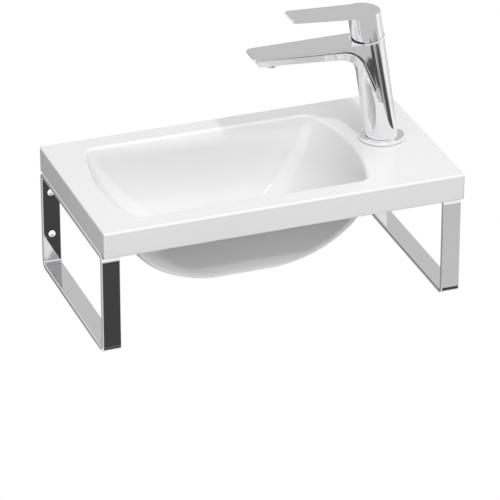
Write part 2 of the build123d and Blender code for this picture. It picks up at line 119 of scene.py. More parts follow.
SPOUT_TOP = 120.0
SPOUT_TIP_X = 0.6
SPOUT_TIP_HALF_WIDTH = 16.2
SPOUT_WIDENING = 1.0
SPOUT_CORNER = 7.0
# Lower edges: tip and knee as (x, height), radius of the knee, offset from the axis
SPOUT_SIDE = ((SPOUT_TIP_X, 118.9), (115.9, 112.6), 27.0, 3.0)
SPOUT_KEEL = ((9.0, 107.2), (119.6, 99.6), 26.0, 15.6)
KEEL_HALF_WIDTH = 7.5
KEEL_ROUND = 3.0
SPOUT_ROUND = 4.4
# The sides stand this far proud, for the plan to trim
SPOUT_MARGIN = 0.06
AERATOR_X = 24.0
AERATOR_RADIUS = 7.05
AERATOR_TOP = 110.6

CAP_FOOT = 122.8
CAP_BORE_RADIUS = 15.5
CAP_BORE_TOP = 146
LEVER_TOP = 153.2
LEVER_RISE = radians(3.2)
LEVER_LENGTH = 85.0
LEVER_ROOT_HALF_WIDTH = 15.9
LEVER_TIP_HALF_WIDTH = 13.8
LEVER_CORNER = 6.0
LEVER_THICKNESS = 4.6
LEVER_THINNING = 1.4
THINNING_START = 30.0
POST_RADIUS = 7.2
POST_FOOT = 137
PLUG_RADIUS = 3.0
PLUG_HEIGHT = 142


# Helpers


def link_mesh(name, bm):
    """Put a bmesh into an object of its own."""
    mesh = bpy.data.meshes.new(name)
    bm.to_mesh(mesh)
    bm.free()
    obj = bpy.data.objects.new(name, mesh)
    bpy.context.scene.collection.objects.link(obj)
    return obj


def finish_mesh(name, bm, smooth_angle=32.0):
    """Turn millimetres into metres and put the mesh into an object of its own."""
    bmesh.ops.remove_doubles(bm, verts=bm.verts, dist=0.002)
    bmesh.ops.recalc_face_normals(bm, faces=bm.faces)
    bmesh.ops.scale(bm, vec=(MM, MM, MM), verts=bm.verts)
    obj = link_mesh(name, bm)
    obj.data.shade_smooth()
    obj.data.set_sharp_from_angle(angle=radians(smooth_angle))
    return obj


def bake(obj):
    """Keep what an object's modifiers make of it as its own mesh."""
    graph = bpy.context.evaluated_depsgraph_get()
    made = bpy.data.meshes.new_from_object(obj.evaluated_get(graph))
    obj.modifiers.clear()
    obj.data = made
    return obj


def combine(obj, other, operation):
    """Cut another solid out of an object, or join it on, and drop the other."""
    step = obj.modifiers.new("shape", "BOOLEAN")
    step.operation = operation
    step.solver = "EXACT"
    step.object = other
    bake(obj)
    bpy.data.objects.remove(other)
    return obj


def resmooth(obj, angle):
    """Smooth a finished piece afresh and keep its creases."""
    obj.data.shade_smooth()
    obj.data.set_sharp_from_angle(angle=radians(angle))
    weighted = obj.modifiers.new("even shading", "WEIGHTED_NORMAL")
    weighted.keep_sharp = True
    weighted.weight = 100
    return obj


def round_edges(obj, width, segments=3, angle=32.0):
    """Round every edge that turns by more than an angle."""
    step = obj.modifiers.new("soft edges", "BEVEL")
    step.limit_method = "ANGLE"
    step.angle_limit = radians(angle)
    step.width = width * MM
    step.segments = segments
    step.harden_normals = False
    return bake(obj)


def cylinder(name, radius, low, high, place=Matrix(), sides=96):
    """A closed cylinder about the Z axis of a place, in millimetres."""
    bm = bmesh.new()
    depth = high - low
    bmesh.ops.create_cone(
        bm, cap_ends=True, segments=sides, radius1=radius, radius2=radius, depth=depth
    )
    bmesh.ops.translate(bm, vec=(0, 0, low + depth / 2), verts=bm.verts)
    bmesh.ops.transform(bm, matrix=place, verts=bm.verts)
    return finish_mesh(name, bm)


def spun(name, profile, place=Matrix(), steps=96, smooth_angle=32.0):
    """Turn a closed outline of (radius, height) points about the Z axis of a place."""
    bm = bmesh.new()
    verts = [bm.verts.new((r, 0, z)) for r, z in profile]
    edges = [bm.edges.new((verts[i], verts[(i + 1) % len(verts)])) for i in range(len(verts))]
    bmesh.ops.spin(
        bm, geom=verts + edges, cent=(0, 0, 0), axis=(0, 0, 1), dvec=(0, 0, 0),
        angle=2 * pi, steps=steps, use_merge=True, use_duplicate=False,
    )
    bmesh.ops.transform(bm, matrix=place, verts=bm.verts)
    return finish_mesh(name, bm, smooth_angle)


def arc(centre, radius, first, last, steps):
    """Points along an arc, angles in degrees, ends included."""
    points = []
    for i in range(steps + 1):
        a = radians(first + (last - first) * i / steps)
        points.append((centre[0] + radius * cos(a), centre[1] + radius * sin(a)))
    return points


def rounded(first, corner, last, steps=5):
    """Points that round off a corner from one point to another."""
    points = []
    for i in range(steps + 1):
        t = i / steps
        points.append(first * (1 - t) ** 2 + corner * (2 * t * (1 - t)) + last * t ** 2)
    return points


def extrude_plan(points, rise):
    """Draw a flat outline out along Z. Returns the mesh and the corners that moved."""
    bm = bmesh.new()
    face = bm.faces.new([bm.verts.new(point) for point in points])
    grown = bmesh.ops.extrude_face_region(bm, geom=[face])
    moved = [part for part in grown["geom"] if isinstance(part, bmesh.types.BMVert)]
    bmesh.ops.translate(bm, vec=(0, 0, rise), verts=moved)
    return bm, moved


def place_from(x_dir, z_dir, origin):
    """A place with its own x and z directions and its own origin."""
    y_dir = z_dir.cross(x_dir)
    place = Matrix((x_dir, y_dir, z_dir)).transposed().to_4x4()
    place.translation = origin
    return place


def column_place():
    """The tap's leaning axis: local x points to the spout, local z up the column."""
    z_dir = Vector((-sin(LEAN), 0, cos(LEAN)))
    x_dir = Vector((-cos(LEAN), 0, -sin(LEAN)))
    return place_from(x_dir, z_dir, Vector((TAP_X, TAP_Y, DECK_Z)))


def deck_place(x=TAP_X, y=TAP_Y):
    """An upright place on the deck, at the tap unless told otherwise."""
    return Matrix.Translation((x, y, DECK_Z))


# Basin


def barrel(centre, z, half_length, half_width, corner, bulge, flat=0.0, side=14, turn=12, end=12):
    """A closed outline with straight long sides, bulged ends and corners that are round,
    or to some share a flat band between two tight turns."""
    bulge = max(bulge, 0.01)
    big = (half_width ** 2 + bulge ** 2) / (2 * bulge)
    big_x = half_length - big
    corner_x = big_x + sqrt((big - corner) ** 2 - (half_width - corner) ** 2)
    corner_y = half_width - corner
    swing = atan2(corner_y, corner_x - big_x)
    quarter = []
    for i in range(side):
        quarter.append((corner_x * i / side, half_width))
    reach = corner * tan((pi / 2 - swing) / 2)
    start = Vector((corner_x, half_width))
    finish = Vector((corner_x + corner * cos(swing), corner_y + corner * sin(swing)))
    peak = start + Vector((reach, 0))
    out = (finish - peak).normalized()
    first = peak - Vector((BAND_SHARE * reach, 0))
    second = peak + out * BAND_SHARE * reach
    near = first - Vector((BAND_TURN * reach, 0))
    far = second + out * BAND_TURN * reach
    points = turn // 2 - 1
    bands = rounded(near, first, first.lerp(second, BAND_TURN), points)
    bands += rounded(first.lerp(second, 1 - BAND_TURN), second, far, points)
    for i in range(turn):
        a = pi / 2 + (swing - pi / 2) * i / turn
        point = Vector((corner_x + corner * cos(a), corner_y + corner * sin(a)))
        quarter.append(tuple(point.lerp(bands[i], flat)))
    for i in range(end):
        a = swing * (1 - i / end)
        quarter.append((big_x + big * cos(a), big * sin(a)))
    tip = [(half_length, 0.0)]
    right = quarter + tip + [(x, -y) for x, y in reversed(quarter[1:])]
    whole = right + [(-x, y) for x, y in [(0.0, -half_width)] + [(x, -y) for x, y in quarter[1:]]]
    whole += [(-half_length, 0.0)] + [(-x, y) for x, y in reversed(quarter[1:])]
    return [(centre[0] + x, centre[1] + y, z) for x, y in whole]


def levels_between(levels, count):
    """Smooth in-between levels along a table of bowl levels."""
    found = []
    last = len(levels) - 1
    for i in range(count + 1):
        t = i / count * last
        k = min(int(t), last - 1)
        f = t - k
        before = levels[max(k - 1, 0)]
        a, b = levels[k], levels[k + 1]
        after = levels[min(k + 2, last)]
        row = []
        for p0, p1, p2, p3 in zip(before, a, b, after):
            row.append(
                0.5 * (2 * p1 + (p2 - p0) * f + (2 * p0 - 5 * p1 + 4 * p2 - p3) * f * f
                       + (3 * p1 - p0 - 3 * p2 + p3) * f ** 3)
            )
        found.append(tuple(row))
    return found


def ring_of(bm, points):
    """A closed loop of edges through a list of points."""
    verts = [bm.verts.new(p) for p in points]
    return [bm.edges.new((verts[i], verts[(i + 1) % len(verts)])) for i in range(len(verts))]


def bridge_round(bm, loops):
    """Join each loop to the next, and the last to the first."""
    for i in range(len(loops)):
        bmesh.ops.bridge_loops(bm, edges=loops[i] + loops[(i + 1) % len(loops)])


def bowl_ring(centre, level, grow=0.0, flat=0.0):
    """The bowl's outline at one row of a table of levels."""
    depth, half_length, half_width, corner = level
    bulge = RIM_BULGE * half_length / RIM_HALF_LENGTH
    return barrel(
        centre, DECK_Z - depth, half_length + grow, half_width + grow, corner + grow, bulge, flat
    )


def slab_ring(z, inset=0.0):
    """The slab's outline, drawn in by an inset."""
    return barrel(
        SLAB_CENTRE, z, SLAB_HALF_WIDTH - inset, SLAB_HALF_DEPTH - inset,
        max(SLAB_CORNER - inset, 0.6), 0.0,
    )


def under_ring(z, grow=0.0):
    """The outline of the hollow under the deck."""
    return barrel(SLAB_CENTRE, z, UNDER_HALF_WIDTH + grow, UNDER_HALF_DEPTH + grow, UNDER_CORNER, 0.0)


def waste_ring(radius, z):
    """A round outline with its points in step with the bowl's."""
    points = []
    for x, y, _ in bowl_ring(BOWL_CENTRE, BOWL_INSIDE[-1]):
        a = atan2(y - BOWL_CENTRE[1], x - BOWL_CENTRE[0])
        points.append((BOWL_CENTRE[0] + radius * cos(a), BOWL_CENTRE[1] + radius * sin(a), z))
    return points


def make_basin():
    """The slab and the bowl as one skin of bridged outlines, then its holes."""
    bm = bmesh.new()
    rings = []
    # Inside of the bowl, from the deck down
    inside = levels_between(BOWL_INSIDE, 42)
    at_rim = min(inside, key=lambda level: abs(level[0] - RIM_RADIUS))
    for i in range(8):
        a = radians(11.0 * i)
        grow = RIM_RADIUS * (1 - sin(a))
        depth = at_rim[0] - RIM_RADIUS * cos(a)
        level = (depth,) + at_rim[1:]
        if i == 0:
            level = (0.0,) + at_rim[1:]
        rings.append(bowl_ring(BOWL_CENTRE, level, grow))
    for level in inside:
        if level[0] > at_rim[0] + 0.4:
            flat = min(1.0, level[0] / BAND_FADE_IN, (BAND_END - level[0]) / BAND_FADE_OUT)
            rings.append(bowl_ring(BOWL_CENTRE, level, 0.0, max(flat, 0.0)))
    floor_z = DECK_Z - BOWL_INSIDE[-1][0]
    rings.append(waste_ring(WASTE_RADIUS + 1.6, floor_z - 0.4))
    rings.append(waste_ring(WASTE_RADIUS + 0.5, floor_z - 0.9))
    rings.append(waste_ring(WASTE_RADIUS, floor_z - 2.0))
    hull_z = DECK_Z - BOWL_OUTSIDE[-1][0]
    rings.append(waste_ring(WASTE_RADIUS, hull_z + 1.0))
    rings.append(waste_ring(WASTE_RADIUS + 1.0, hull_z))
    # Outside of the bowl, up to the deck's underside
    outside = [level for level in levels_between(BOWL_OUTSIDE, 36) if level[0] > 15.0]
    rings += [bowl_ring(HULL_CENTRE, level) for level in reversed(outside)]
    last = outside[0]
    rings.append(bowl_ring(HULL_CENTRE, (DECK_THICKNESS,) + last[1:], 1.0))
    rings.append(under_ring(DECK_Z - DECK_THICKNESS))
    rings.append(under_ring(UNDERSIDE_Z + 1.0))
    rings.append(under_ring(UNDERSIDE_Z, 1.0))
    # Outside of the slab, up to the deck
    rings.append(slab_ring(UNDERSIDE_Z, 1.2))
    rings.append(slab_ring(UNDERSIDE_Z + 0.35, 0.35))
    rings.append(slab_ring(UNDERSIDE_Z + 1.2))
    for i in range(6):
        a = radians(18.0 * i)
        rings.append(slab_ring(DECK_Z - SLAB_EDGE * (1 - sin(a)), SLAB_EDGE * (1 - cos(a))))
    loops = [ring_of(bm, points) for points in rings]
    bridge_round(bm, loops)
    basin = finish_mesh("basin_ceramic", bm, 40.0)
    combine(basin, cylinder("tap_hole", TAP_HOLE_RADIUS, -30, 20, deck_place()), "DIFFERENCE")
    for side in (-1, 1):
        for y in SCREW_Y:
            place = Matrix.Translation((side * BRACKET_X, y, UNDERSIDE_Z))
            hole = cylinder("insert_hole", INSERT_RADIUS, -5, 20, place, 32)
            combine(basin, hole, "DIFFERENCE")
    return resmooth(basin, 40.0)


# Brackets


def loop_ring(bm, x, inset):
    """A bracket outline in the plane of one of its sides."""
    y0, y1 = -BRACKET_DEPTH + inset, -inset
    z0, z1 = UNDERSIDE_Z - BRACKET_HEIGHT + inset, UNDERSIDE_Z - inset
    radius = max(BRACKET_CORNER - inset, 1.0)
    points = []
    for cy, cz, first in (
        (y1 - radius, z1 - radius, 0), (y0 + radius, z1 - radius, 90),
        (y0 + radius, z0 + radius, 180), (y1 - radius, z0 + radius, 270),
    ):
        points += arc((cy, cz), radius, first, first + 90, 12)
    return ring_of(bm, [(x, y, z) for y, z in points])


def make_bracket(name, side):
    """A closed loop of flat bar with softly rounded long edges."""
    bm = bmesh.new()
    x = side * BRACKET_X
    flat = BAR_HALF_WIDTH - BAR_EDGE
    # Half of the bar's section: offset from its middle, depth below its outer face
    section = []
    for i in range(4):
        a = radians(30 * i)
        section.append((flat + BAR_EDGE * sin(a), BAR_EDGE - BAR_EDGE * cos(a)))
    for i in range(4):
        a = radians(30 * i)
        section.append((flat + BAR_EDGE * cos(a), BAR_THICKNESS - BAR_EDGE + BAR_EDGE * sin(a)))
    section += [(-offset, inset) for offset, inset in reversed(section)]
    bridge_round(bm, [loop_ring(bm, x + offset, inset) for offset, inset in section])
    bracket = finish_mesh(name, bm, 35.0)
    for z in WALL_HOLE_Z:
        place = Matrix.Translation((x, 0, z)) @ Matrix.Rotation(pi / 2, 4, "X")
        hole = cylinder("wall_hole", WALL_HOLE_RADIUS, -10, 10, place, 48)
        combine(bracket, hole, "DIFFERENCE")
    for y in SCREW_Y:
        place = Matrix.Translation((x, y, UNDERSIDE_Z))
        combine(bracket, cylinder("screw_hole", SCREW_RADIUS, -10, 10, place, 32), "DIFFERENCE")
    return resmooth(bracket, 35.0)


# Tap


def low_edge(low, knee, radius, foot_offset, run=10, bend=20, fall=8):
    """The spout's lower edge in one upright plane: out from the tip, round the knee and
    down the column. Returns its points and the direction into the metal at each."""
    foot = 52.0
    end = Vector((TAP_X - foot * tan(LEAN) - foot_offset, foot))
    low = Vector(low)
    knee = Vector(knee)
    into = (low - knee).normalized()
    out = (end - knee).normalized()
    turn = into.angle(out)
    centre = knee + (into + out).normalized() * (radius / sin(turn / 2))
    start = knee + into * (radius / tan(turn / 2))
    finish = knee + out * (radius / tan(turn / 2))
    first = start - centre
    swing = pi - turn
    points = [low + (start - low) * i / run for i in range(run)]
    points += [centre + Matrix.Rotation(-swing * i / bend, 2) @ first for i in range(bend)]
    points += [finish + (end - finish) * i / fall for i in range(fall + 1)]
    normals = []
    for i, point in enumerate(points):
        ahead = (points[min(i + 1, len(points) - 1)] - points[max(i - 1, 0)]).normalized()
        normals.append(Vector((-ahead.y, ahead.x)))
    return points, normals


def spout_half_width(x):
    """Half the spout's width, which grows from its tip to the column's axis."""
    return SPOUT_TIP_HALF_WIDTH + SPOUT_WIDENING * (x - SPOUT_TIP_X) / (TAP_X - SPOUT_TIP_X)


def spout_section(side_corner, keel_corner, into, rear_x):
    """One side of an upright section through the spout, from its top down to its keel."""
    down = (keel_corner - side_corner).normalized()
    soft = min(SPOUT_ROUND, 0.45 * (SPOUT_TOP - side_corner.z))
    up = Vector((into.x, 0, into.y)) * soft
    tuck = Vector((0, soft, 0))
    half = [Vector((rear_x, spout_half_width(rear_x) + SPOUT_MARGIN, SPOUT_TOP))]
    # The edge draws in a little before it turns: share of its height, share of its tuck
    for height, inset in ((1.0, 0.0), (0.75, 0.006), (0.5, 0.021), (0.25, 0.046)):
        half.append(side_corner + up * height - tuck * inset)
    low = side_corner - tuck * 0.09
    bend = low - up * 0.15 - tuck * 0.035
    half += rounded(low, bend, side_corner + down * max(soft * 0.5, 0.9))
    keel_end = keel_corner - Vector((0, KEEL_ROUND, 0))
    half += rounded(keel_corner - down * KEEL_ROUND, keel_corner, keel_end)
    return half


def spout_plan():
    """The spout seen from above, drawn out upright, to trim its sides and tip."""
    slope = atan2(SPOUT_WIDENING, TAP_X - SPOUT_TIP_X)
    reach = SPOUT_CORNER * tan(slope) - SPOUT_CORNER / cos(slope)
    root = spout_half_width(TAP_X)
    outline = [(TAP_X, root), (TAP_X, -root)]
    for sign, first, last in ((-1, 270, 180), (1, 180, 90)):
        centre = (SPOUT_TIP_X + SPOUT_CORNER, sign * (SPOUT_TIP_HALF_WIDTH + reach))
        outline += arc(centre, SPOUT_CORNER, first, last, 10)
    bm, _ = extrude_plan([(x, TAP_Y + y, DECK_Z + 20) for x, y in outline], 160)
    return finish_mesh("spout_plan", bm)


def make_spout():
    """Upright sections from the tip, under the spout and down into the column."""
    side, inward = low_edge(*SPOUT_SIDE)
    keel, _ = low_edge(*SPOUT_KEEL)
    axis_x = TAP_X - SPOUT_TOP * tan(LEAN)
    first_gap = 6.0
    bm = bmesh.new()
    loops = []
    for i, (s, n, k) in enumerate(zip(side, inward, keel)):
        rear_x = min(s.x, axis_x - first_gap * (1 - i / (len(side) - 1)))
        side_corner = Vector((s.x, spout_half_width(s.x) + SPOUT_MARGIN, s.y))
        half = spout_section(side_corner, Vector((k.x, KEEL_HALF_WIDTH, k.y)), n, rear_x)
        other = [Vector((p.x, -p.y, p.z)) for p in reversed(half)]
        loops.append(ring_of(bm, [p + Vector((0, TAP_Y, DECK_Z)) for p in half + other]))
    bm.faces.new([e.verts[0] for e in loops[0]])
    for i in range(len(loops) - 1):
        bmesh.ops.bridge_loops(bm, edges=loops[i] + loops[i + 1])
    bm.faces.new([e.verts[0] for e in reversed(loops[-1])])
    return combine(finish_mesh("spout", bm), spout_plan(), "INTERSECT")


def paint_recess_shade(body, place):
    """Give the second finish, a near-black one that paints shade into the gap between the column and
    the cap.
    """
    to_column = place.inverted()
    for face in body.data.polygons:
        spot = to_column @ (face.center / MM)
        radius = spot.xy.length
        on_floor = 17.0 < radius < 20.1 and abs(spot.z - COLUMN_TOP) < 0.05
        on_wall = abs(radius - RECESS_RADIUS) < 0.05 and 120.0 < spot.z < 125.0
        if on_floor or on_wall:
            face.material_index = 1


def make_tap_body():
    """The leaning column with its spout, cut for the cartridge, the aerator and the deck."""
    place = column_place()
    body = cylinder("tap_chrome_body", COLUMN_RADIUS, -20, 150, place, 144)
    combine(body, cylinder("below", 60, -60, COLUMN_FOOT, deck_place(), 8), "DIFFERENCE")
    combine(body, make_spout(), "UNION")
    combine(body, cylinder("recess", RECESS_RADIUS, COLUMN_TOP, 200, place, 144), "DIFFERENCE")
    combine(body, cylinder("neck", NECK_RADIUS, NECK_FLOOR, 130, place, 96), "DIFFERENCE")
    outlet = deck_place(AERATOR_X)
    bore = cylinder("aerator_bore", AERATOR_RADIUS, 90, AERATOR_TOP, outlet, 64)
    combine(body, bore, "DIFFERENCE")
    combine(body, cylinder("foot", FOOT_RADIUS, -3, FOOT_TOP, deck_place(), 96), "UNION")
    for dx, dy, radius in FOOT_SOCKETS:
        spot = deck_place(TAP_X + dx, TAP_Y + dy)
        combine(body, cylinder("socket", radius, -9, 9, spot, 32), "DIFFERENCE")
    round_edges(body, 0.45)
    paint_recess_shade(body, place)
    return resmooth(body, 38.0)


def lever_plate(top):
    """The flat lever: it narrows to rounded corners at its tip and thins from below."""
    slope = atan2(LEVER_ROOT_HALF_WIDTH - LEVER_TIP_HALF_WIDTH, LEVER_LENGTH)
    outline = [(0.0, LEVER_ROOT_HALF_WIDTH), (0.0, -LEVER_ROOT_HALF_WIDTH)]
    reach = LEVER_CORNER * tan(slope) - LEVER_CORNER / cos(slope)
    for sign, first, last in ((-1, -90, 0), (1, 0, 90)):
        centre = (LEVER_LENGTH - LEVER_CORNER, sign * (LEVER_TIP_HALF_WIDTH + reach))
        outline += arc(centre, LEVER_CORNER, first, last, 8)
    bm, low = extrude_plan([(x, y, 0) for x, y in outline], -LEVER_THICKNESS)
    for v in low:
        if v.co.x > THINNING_START:
            share = (v.co.x - THINNING_START) / (LEVER_LENGTH - THINNING_START)
            v.co.z += LEVER_THINNING * share
    bmesh.ops.transform(bm, matrix=top, verts=bm.verts)
    return finish_mesh("plate", bm)


def make_lever():
    """The cap and the flat lever in one piece, hollow for the cartridge."""
    place = column_place()
    lever = cylinder("lever_chrome", COLUMN_RADIUS, CAP_FOOT, 175, place, 144)
    origin = Vector((TAP_X - LEVER_TOP * tan(LEAN), TAP_Y, DECK_Z + LEVER_TOP))
    x_dir = Vector((-cos(LEVER_RISE), 0, sin(LEVER_RISE)))
    z_dir = Vector((sin(LEVER_RISE), 0, cos(LEVER_RISE)))
    top = place_from(x_dir, z_dir, origin)
    combine(lever, cylinder("above", 60, 0, 60, top, 8), "DIFFERENCE")
    combine(lever, lever_plate(top), "UNION")
    hollow = cylinder("hollow", CAP_BORE_RADIUS, 120, CAP_BORE_TOP, place, 96)
    combine(lever, hollow, "DIFFERENCE")
    combine(lever, cylinder("post", POST_RADIUS, POST_FOOT, 147, place, 64), "UNION")
    turned = place @ Matrix.Translation((0, 0, PLUG_HEIGHT)) @ Matrix.Rotation(-pi / 2, 4, "Y")
    combine(lever, cylinder("plug_hole", PLUG_RADIUS, 12.4, 24, turned, 48), "DIFFERENCE")
    round_edges(lever, 0.5)
    return resmooth(lever, 38.0)


def make_base_ring():
    """A low round flange, grooved below for its seal, with a thin collar about the column."""
    bore, top = 15.55, 6.5
    groove_inner, groove_outer, groove_top = 19.4, 22.2, 1.5
    profile = [(bore, 0.0), (groove_inner, 0.0), (groove_inner, groove_top)]
    profile += [(groove_outer, groove_top), (groove_outer, 0.0)]
    profile += [(24.0, 0.0), (24.1, 0.75), (24.9, 0.85)]
    profile += arc((22.6, 1.5), 2.6, -8, 78, 9)
    profile += [(18.4, 4.9), (17.9, 4.6), (17.6, 4.7), (17.4, 5.1), (17.2, 6.3), (NECK_RADIUS, top)]
    profile += [(bore, top)]
    return spun("base_ring_chrome", profile, deck_place(), 128, 40.0)


def make_trim_ring():
    """A thin ring with a rounded outer edge, between the column and the cap."""
    bead = 0.6
    profile = [(NECK_RADIUS, COLUMN_TOP), (18.0, COLUMN_TOP)]
    profile += arc((17.9, 120.9), bead, -60, 0, 4)
    profile += arc((17.9, 121.9), bead, 0, 80, 5)
    profile += [(17.6, 122.5)]
    return spun("trim_ring_chrome", profile, column_place(), 128, 40.0)


# Finishes


def new_material(name, color, metallic, roughness):
    """A plain material, with its node tree and its shader."""
    material = bpy.data.materials.new(name)
    material.use_nodes = True
    tree = material.node_tree
    shader = tree.nodes["Principled BSDF"]
    shader.inputs["Base Color"].default_value = (*color, 1)
    shader.inputs["Metallic"].default_value = metallic
    shader.inputs["Roughness"].default_value = roughness
    return material, tree, shader


def noise(tree, scale, detail):
    """A soft random pattern that stays with the piece."""
    where = tree.nodes.new("ShaderNodeTexCoord")
    grain = tree.nodes.new("ShaderNodeTexNoise")
    grain.inputs["Scale"].default_value = scale
    grain.inputs["Detail"].default_value = detail
    grain.inputs["Roughness"].default_value = 0.5
    tree.links.new(where.outputs["Object"], grain.inputs["Vector"])
    return grain


def spread(tree, source, low, high, socket):
    """Let a pattern move a shader socket between two values."""
    span = tree.nodes.new("ShaderNodeMapRange")
    span.inputs["From Min"].default_value = 0.3
    span.inputs["From Max"].default_value = 0.7
    span.inputs["To Min"].default_value = low
    span.inputs["To Max"].default_value = high
    tree.links.new(source.outputs["Fac"], span.inputs["Value"])
    tree.links.new(span.outputs["Result"], socket)


def tint(tree, source, first, second, socket):
    """Let a pattern move a colour between two near shades."""
    ramp = tree.nodes.new("ShaderNodeValToRGB")
    ramp.color_ramp.elements[0].position = 0.35
    ramp.color_ramp.elements[0].color = (*first, 1)
    ramp.color_ramp.elements[1].position = 0.65
    ramp.color_ramp.elements[1].color = (*second, 1)
    tree.links.new(source.outputs["Fac"], ramp.inputs["Fac"])
    tree.links.new(ramp.outputs["Color"], socket)


def bumps(tree, source, shader, height, distance):
    """Let a pattern ruffle the surface."""
    bump = tree.nodes.new("ShaderNodeBump")
    bump.inputs["Strength"].default_value = height
    bump.inputs["Distance"].default_value = distance
    tree.links.new(source.outputs["Fac"], bump.inputs["Height"])
    tree.links.new(bump.outputs["Normal"], shader.inputs["Normal"])


def glazed_ceramic():
    """White glaze, nearly even in colour, with a faint ripple."""
    dark, light = (0.79, 0.79, 0.79), (0.8, 0.799, 0.798)
    material, tree, shader = new_material("glazed_ceramic", light, 0.0, 0.1)
    tint(tree, noise(tree, 9.0, 3.0), dark, light, shader.inputs["Base Color"])
    spread(tree, noise(tree, 60.0, 2.0), 0.07, 0.12, shader.inputs["Roughness"])
    shader.inputs["IOR"].default_value = 1.5
    bumps(tree, noise(tree, 45.0, 1.0), shader, 0.04, 0.0006)
    return material


def polished_chrome(name, shade, roughness):
    """Mirror-bright plating with a trace of wiping marks."""
    material, tree, shader = new_material(name, shade, 1.0, roughness)
    wiping = noise(tree, 130.0, 3.0)
    spread(tree, wiping, roughness * 0.7, roughness * 1.4, shader.inputs["Roughness"])
    lighter = tuple(min(1.0, c * 1.015) for c in shade)
    tint(tree, noise(tree, 35.0, 2.0), shade, lighter, shader.inputs["Base Color"])
    bumps(tree, noise(tree, 70.0, 1.0), shader, 0.03, 0.0003)
    return material


def plain_finish(name, dark, light, metallic, roughness, grain, height):
    """One even pattern that moves the colour, the shine and the surface together."""
    low, high = roughness
    material, tree, shader = new_material(name, light, metallic, high)
    pattern = noise(tree, grain, 4.0)
    tint(tree, pattern, dark, light, shader.inputs["Base Color"])
    spread(tree, pattern, low, high, shader.inputs["Roughness"])
    bumps(tree, pattern, shader, height, 0.0004)
    return material


def finish_node(name, material):
    """Give a part that stays as it came one finish."""
    obj = nodes[name]
    obj.data.materials.clear()
    obj.data.materials.append(material)


def dress(obj, material, slot_name, body, *replaced):
    """Give a new piece its finish, its body and the nodes it stands for; slot_name is not used."""
    obj.data.materials.clear()
    obj.data.materials.append(material)
    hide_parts(*replaced)
    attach(obj, body)


ceramic = glazed_ceramic()
tap_chrome = polished_chrome("tap_chrome", (0.86, 0.86, 0.87), 0.03)
bracket_chrome = polished_chrome("bracket_chrome", (0.84, 0.84, 0.85), 0.045)
ring_chrome = polished_chrome("ring_chrome", (0.9, 0.9, 0.9), 0.04)
# Near-black, to paint shade into the recess under the cap
recess_shade_paint = plain_finish(
    "painted_recess_shade", (0.02, 0.02, 0.02), (0.04, 0.04, 0.04),
    metallic=0.3, roughness=(0.6, 0.8), grain=300, height=0.1,
)
steel = plain_finish(
    "stainless_steel", (0.5, 0.5, 0.51), (0.62, 0.62, 0.63),
    metallic=1.0, roughness=(0.25, 0.4), grain=300, height=0.1,
)
brass = plain_finish(
    "turned_brass", (0.72, 0.56, 0.27), (0.82, 0.67, 0.36),
    metallic=1.0, roughness=(0.2, 0.35), grain=260, height=0.1,
)
rubber = plain_finish(
    "seal_rubber", (0.025, 0.025, 0.025), (0.06, 0.06, 0.06),
    metallic=0.0, roughness=(0.6, 0.8), grain=400, height=0.3,
)
acetal = plain_finish(
    "moulded_acetal", (0.8, 0.8, 0.78), (0.86, 0.86, 0.84),
    metallic=0.0, roughness=(0.4, 0.55), grain=220, height=0.15,
)
alumina = plain_finish(
    "lapped_alumina", (0.88, 0.87, 0.83), (0.93, 0.92, 0.88),
    metallic=0.0, roughness=(0.12, 0.22), grain=180, height=0.05,
)
grey_plastic = plain_finish(
    "grey_plastic", (0.6, 0.6, 0.61), (0.72, 0.72, 0.73),
    metallic=0.0, roughness=(0.35, 0.5), grain=240, height=0.15,
)

dress(make_basin(), ceramic, "ceramic_glaze", "root", "basin")
dress(make_bracket("left_bracket_bar", -1), bracket_chrome, "bracket_chrome", "root", "left_bracket")
dress(make_bracket("right_bracket_bar", 1), bracket_chrome, "bracket_chrome", "root", "right_bracket")
tap_body = make_tap_body()
dress(tap_body, tap_chrome, "tap_chrome", "root", "tap_body")
# The second slot holds the painted shade for the recess under the cap
tap_body.data.materials.append(recess_shade_paint)
dress(make_base_ring(), tap_chrome, "tap_chrome", "root", "tap_base_ring")
dress(make_trim_ring(), ring_chrome, "ring_chrome", "root", "trim_ring")
dress(make_lever(), tap_chrome, "tap_chrome", "lever", "tap_lever")

for name in ("bracket_screws", "horseshoe_washer", "spindle_pin", "lever_set_screw"):
    finish_node(name, steel)
for name in ("basin_inserts", "fixing_stud", "fixing_nut", "cartridge_nut", "cartridge_spindle"):
    finish_node(name, brass)
for name in ("base_seal", "horseshoe_gasket", "inlet_seals", "cartridge_o_ring", "aerator_seal"):
    finish_node(name, rubber)
for name in ("cartridge_housing", "cartridge_base", "disc_carrier", "spindle_guide"):
    finish_node(name, acetal)
for name in ("fixed_disc", "moving_disc"):
    finish_node(name, alumina)
for name in ("lever_plug", "aerator_insert"):
    finish_node(name, grey_plastic)
finish_node("aerator_housing", tap_chrome)


# Studio


def ring_card(radius, rows):
    """Two rows of points, low and high, on a ring about the tap's foot."""
    edges = []
    for pick in (1, 2):
        edge = []
        for row in rows:
            bearing = radians(row[0])
            x = TAP_X + radius * sin(bearing) / MM
            y = TAP_Y - radius * cos(bearing) / MM
            edge.append((x, y, row[pick]))
        edges.append(edge)
    return edges


